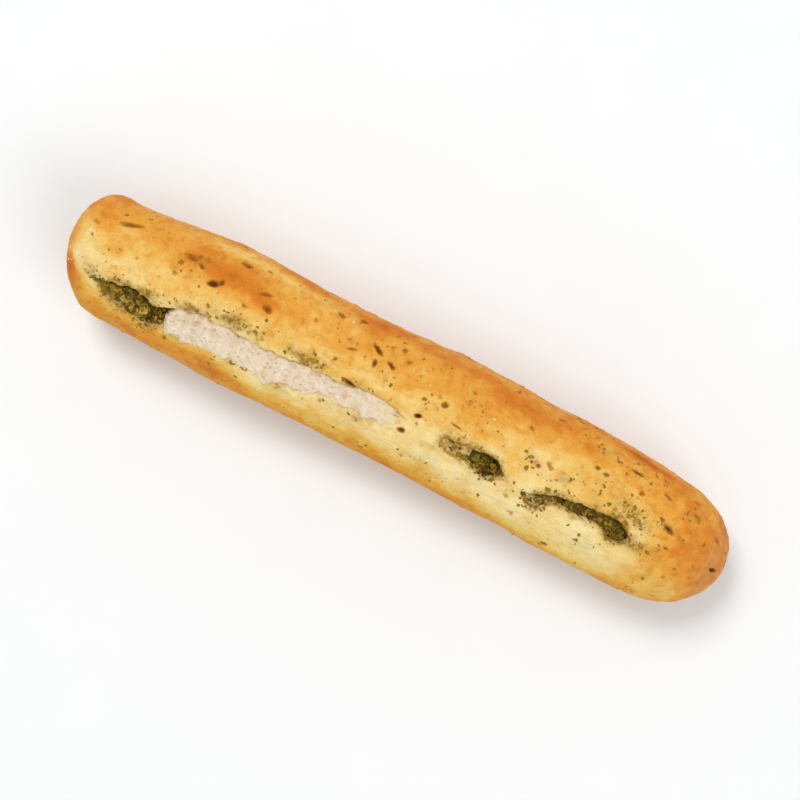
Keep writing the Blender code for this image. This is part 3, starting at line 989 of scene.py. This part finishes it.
CRUST_COLOURS = (
    (0, "f9e3a4"), (0.14, "f5d58a"), (0.28, "f0c062"), (0.42, "e9a440"), (0.58, "dc8427"),
    (0.78, "c26215"), (1, "8f400e"))
CUT_COLOURS = ((0.3, "b9743a"), (0.5, "cf8e50"), (0.7, "dca462"))
CRUMB_COLOURS = ((0.3, "d8be9c"), (0.5, "e1ceb3"), (0.7, "e9dcc5"))
PASTE_COLOURS = ((0, "2c2306"), (0.4, "4c3c0a"), (0.7, "66520e"), (1, "826a16"))
LEAF_COLOURS = (
    (0, "322309"), (0.16, "5a3f0c"), (0.32, "6c5812"), (0.46, "74641a"), (0.58, "8c781e"),
    (0.7, "9c701c"), (0.84, "b8923a"), (1, "efdca0"))
HERB_COLOURS = ((0, "705816"), (0.3, "866a1a"), (0.55, "9c7420"), (0.8, "a86f20"), (1, "925a1a"))


def crust_colour(s, coarse, fine):
    """Browning, toasted marks, herb stains, cut end, torn lips and dark dents, with painted shade
    on the -Y flank and in the dents.
    """
    bake = s.plus(s.plus(s.mark("bake"), coarse, 0.2), fine, 0.18)
    colour = s.ramp(s.math("SUBTRACT", bake, 0.19), CRUST_COLOURS)
    # Deeper golden on the -Y flank: partly baking, partly painted shade.
    colour = s.tint(colour, "fffcc6", s.times(s.mark("gold_and_shade"), 0.85), blend="MULTIPLY")
    baked = s.span(s.mark("bake"), 0.1, 0.45, 0.2, 1)
    toast = s.span(s.noise(0.55, 4, warp=0.5), 0.5, 0.68, 0, 0.42)
    colour = s.tint(colour, "c97626", s.times(toast, baked))
    share = s.plus(0.16, s.mark("speckle"), 0.65)
    colour = s.tint(colour, "a5661a", s.spots(0.75, 0.34, share, 0.7))
    colour = s.tint(colour, "a06c18", s.spots(0.4, 0.36, share, 0.55))
    stain = s.times(s.mark("stain"), s.span(fine, 0.34, 0.6, 0.3, 1))
    colour = s.tint(colour, "977014", s.times(stain, 0.9))
    tan = s.ramp(s.noise(0.6, 4), CUT_COLOURS)
    colour = s.mix(s.times(s.mark("face"), 0.5), colour, tan)
    colour = s.tint(colour, "d9b878", s.times(s.mark("torn"), 0.7))
    # Darker dents: partly browner crust, partly painted shade in the hollows.
    dark = s.plus(s.mark("dark"), s.noise(0.14, 3), 0.5)
    colour = s.tint(colour, "9a5a10", s.span(dark, 0.36, 0.74, 0, 0.86))
    colour = s.tint(colour, "532a06", s.span(dark, 0.74, 1.08, 0, 0.9))
    shade = s.span(s.noise(0.09, 2), 0.3, 0.7, 0.92, 1.04)
    shade = s.times(shade, s.span(fine, 0.3, 0.7, 0.95, 1.03))
    return s.mix(1, colour, shade, blend="MULTIPLY")


def crust_material():
    """Baked dough with a satin skin."""
    s = Surface("crust")
    coarse = s.noise(1.5, 4, warp=0.4)
    fine = s.noise(0.34, 4, rough=0.6)
    skin = s.raise_by(s.noise(0.12, 4, rough=0.65), 0.07)
    pits = s.math("SUBTRACT", 1, s.spots(0.55, 0.28, 0.4, 1))
    skin = s.raise_by(pits, 0.014, onto=skin)
    skin = s.raise_by(s.spots(0.9, 0.4, 0.5, 1), 0.016, onto=skin)
    wrinkle = s.noise(0.5, 4, places=s.stretched((0.35, 1, 1)), warp=0.3)
    skin = s.raise_by(wrinkle, 0.16, onto=skin)
    return s.finish(Base_Color=crust_colour(s, coarse, fine), Normal=skin, IOR=1.42,
                    Roughness=s.span(coarse, 0.3, 0.7, 0.48, 0.68), Specular_IOR_Level=0.12,
                    Subsurface_Weight=0.1, Subsurface_Radius=[0.9, 0.5, 0.25],
                    Subsurface_Scale=0.4 * MM, Coat_Weight=0.02, Coat_Roughness=0.3)


def crumb_material(name, glow):
    """Torn white crumb; glow is how much light passes into it."""
    s = Surface(name)
    fine = s.noise(0.16, 4, rough=0.65)
    wisps = s.noise(0.45, 4, places=s.stretched((1, 0.45, 0.45)), warp=0.6)
    colour = s.ramp(wisps, CRUMB_COLOURS)
    # Tan in the pores is painted shade; the fade and edge tints are the crumb's own colour.
    for mark, share, code in (("fade", 0.85, "e6d09a"), ("edge", 0.22, "e0c28a"),
                              ("painted_pore_shade", 0.42, "cda073")):
        colour = s.tint(colour, code, s.times(s.mark(mark), share))
    relief = s.raise_by(fine, 0.035, onto=s.raise_by(wisps, 0.035))
    return s.finish(Base_Color=colour, Roughness=0.85, Normal=relief, Subsurface_Weight=glow,
                    Subsurface_Radius=[1, 0.8, 0.6], Subsurface_Scale=0.45 * MM, Sheen_Weight=0.15)


def leaf_colour(s, grain, stops):
    """Colour by the leaf mark, varied a little by the grain."""
    leaf = s.plus(s.mark("leaf"), grain, 0.3)
    return s.ramp(s.times(leaf, 0.77), stops)


def pesto_material(name, stops):
    """Chopped herb in oil, with lighter leaf, nut and cheese and a slight shine."""
    s = Surface(name)
    colour = leaf_colour(s, s.noise(0.2, 3), stops)
    cells = s.texture(s.add("TexVoronoi", feature="DISTANCE_TO_EDGE"), 0.12)
    vein = s.span(cells.outputs["Distance"], 0, 0.2, 0.75, 1)
    return s.finish(Base_Color=s.mix(1, colour, vein, blend="MULTIPLY"), IOR=1.47,
                    Roughness=s.span(s.noise(0.25), 0.35, 0.65, 0.38, 0.7), Specular_IOR_Level=0.12,
                    Normal=s.raise_by(s.noise(0.09, 2), 0.01))


def herb_material():
    """Dry herb specks in the crust, olive to brown."""
    s = Surface("herb_specks")
    colour = leaf_colour(s, s.noise(0.12, 2), HERB_COLOURS)
    return s.finish(Base_Color=colour, Roughness=0.65, Specular_IOR_Level=0.2,
                    Normal=s.raise_by(s.noise(0.06), 0.004))


def salt_material():
    """Clear to milky salt."""
    s = Surface("salt_grains")
    cloud = s.span(s.noise(0.1), 0.3, 0.7)
    return s.finish(Base_Color=s.mix(cloud, linear("f6efe2"), linear("fffaf2")), Roughness=0.28,
                    Subsurface_Weight=0.5, Subsurface_Radius=[1, 1, 1], IOR=1.54,
                    Subsurface_Scale=0.2 * MM, Normal=s.raise_by(s.noise(0.06), 0.01))


def floor_material():
    s = Surface("floor")
    tone = s.noise(9, 2)
    return s.finish(Base_Color=s.mix(tone, linear("edeeee"), linear("f1f2f2")), Roughness=0.75)


# ---- studio

PHOTO_TURN = radians(27.5)  # the stick runs down to the right at this angle
LENS = 90
SENSOR = 36
FRAME_SHARE = 0.9  # share of the frame's width that the stick takes up
# Lights: name, place by the picture's right, up and height, size (m), power (W)
LIGHTS = (("key", -0.14, 0.26, 0.48, 0.2, 1.5), ("fill", 0.3, -0.3, 0.42, 0.4, 1.12))
WORLD_STRENGTH = 0.49


def make_floor(material):
    """Round floor whose rim curves up into a low wall."""
    flat, bend, wall, sides = 0.45, 0.22, 0.5, 96
    turn = np.linspace(0, pi / 2, 13)
    profile = [(0.02, 0)] + [(flat + bend * sin(t), bend * (1 - cos(t))) for t in turn]
    profile.append((flat + bend, wall))
    points = [(r * cos(a), r * sin(a), z) for r, z in profile for a in full_turn(sides)]
    faces = [face[::-1] for face in grid_faces(len(profile), sides)]
    faces.append(list(range(sides)))
    mesh = bpy.data.meshes.new("floor")
    mesh.from_pydata(points, [], faces)
    mesh.materials.append(material)
    mesh.shade_smooth()
    floor = add_object("floor", mesh)


def make_camera():
    """Camera straight above, turned so that the stick runs as in the picture."""
    low, high = (Vector(corner) for corner in CAD_BOUNDS)
    run = (high.x - low.x) * cos(PHOTO_TURN) + (high.y - low.y) * sin(PHOTO_TURN)
    distance = run / FRAME_SHARE * LENS / SENSOR
    data = bpy.data.cameras.new("camera")
    data.lens = LENS
    data.sensor_width = SENSOR
    data.clip_start = 0.01
    camera = add_object("camera", data)
    camera.location = (0, 0, high.z * 0.6 + distance)
    camera.rotation_euler = (0, 0, PHOTO_TURN)
    bpy.context.scene.camera = camera


def add_light(name, right, up, height, size, power):
    """Square soft light, aimed at the stick."""
    c, s = cos(PHOTO_TURN), sin(PHOTO_TURN)
    place = Vector((right * c - up * s, right * s + up * c, height))
    data = bpy.data.lights.new(name, "AREA")
    data.shape = "SQUARE"
    data.size = size
    data.energy = power
    light = add_object(name, data)
    light.location = place
    light.rotation_mode = "QUATERNION"
    light.rotation_quaternion = place.to_track_quat("Z", "Y")


def make_studio():
    """Floor, camera, two soft lights and an even white surround."""
    make_floor(floor_material())
    make_camera()
    for light in LIGHTS:
        add_light(*light)
    world = bpy.data.worlds.new("studio")
    world.use_nodes = True
    background = world.node_tree.nodes["Background"]
    background.inputs["Color"].default_value = (1, 1, 1, 1)
    background.inputs["Strength"].default_value = WORLD_STRENGTH
    bpy.context.scene.world = world
    bpy.context.scene.view_settings.view_transform = "Standard"


# ---- the stick

def shift_to_cad():
    """Shift, in millimetres, that sets the log on the CAD solid's box."""
    x = ring_stations()[:, None]
    angle = np.linspace(-pi, pi, 120)
    mine = surface(x, angle)
    low, high = (np.array(corner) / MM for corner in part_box("breadstick"))
    shift = (low + high - mine.min(axis=(0, 1)) - mine.max(axis=(0, 1))) / 2
    shift[2] = low[2] - base_level()
    return shift


SHIFT = shift_to_cad()


def make_stick():
    grid = bread_grid()
    normals = grid_normals(grid[0])
    make_bread(grid, crust_material())
    crumb = crumb_grid()
    make_crumb(crumb, crumb_material("crumb", 0.3))
    make_crumb_shreds(crumb, crumb_material("crumb_shreds", 0))
    make_pesto(pesto_material("pesto", PASTE_COLOURS))
    make_leaf_bits(pesto_material("leaf_bits", LEAF_COLOURS))
    make_herb_specks(grid, normals, herb_material())
    make_salt(grid, normals, salt_material())


make_stick()
make_studio()
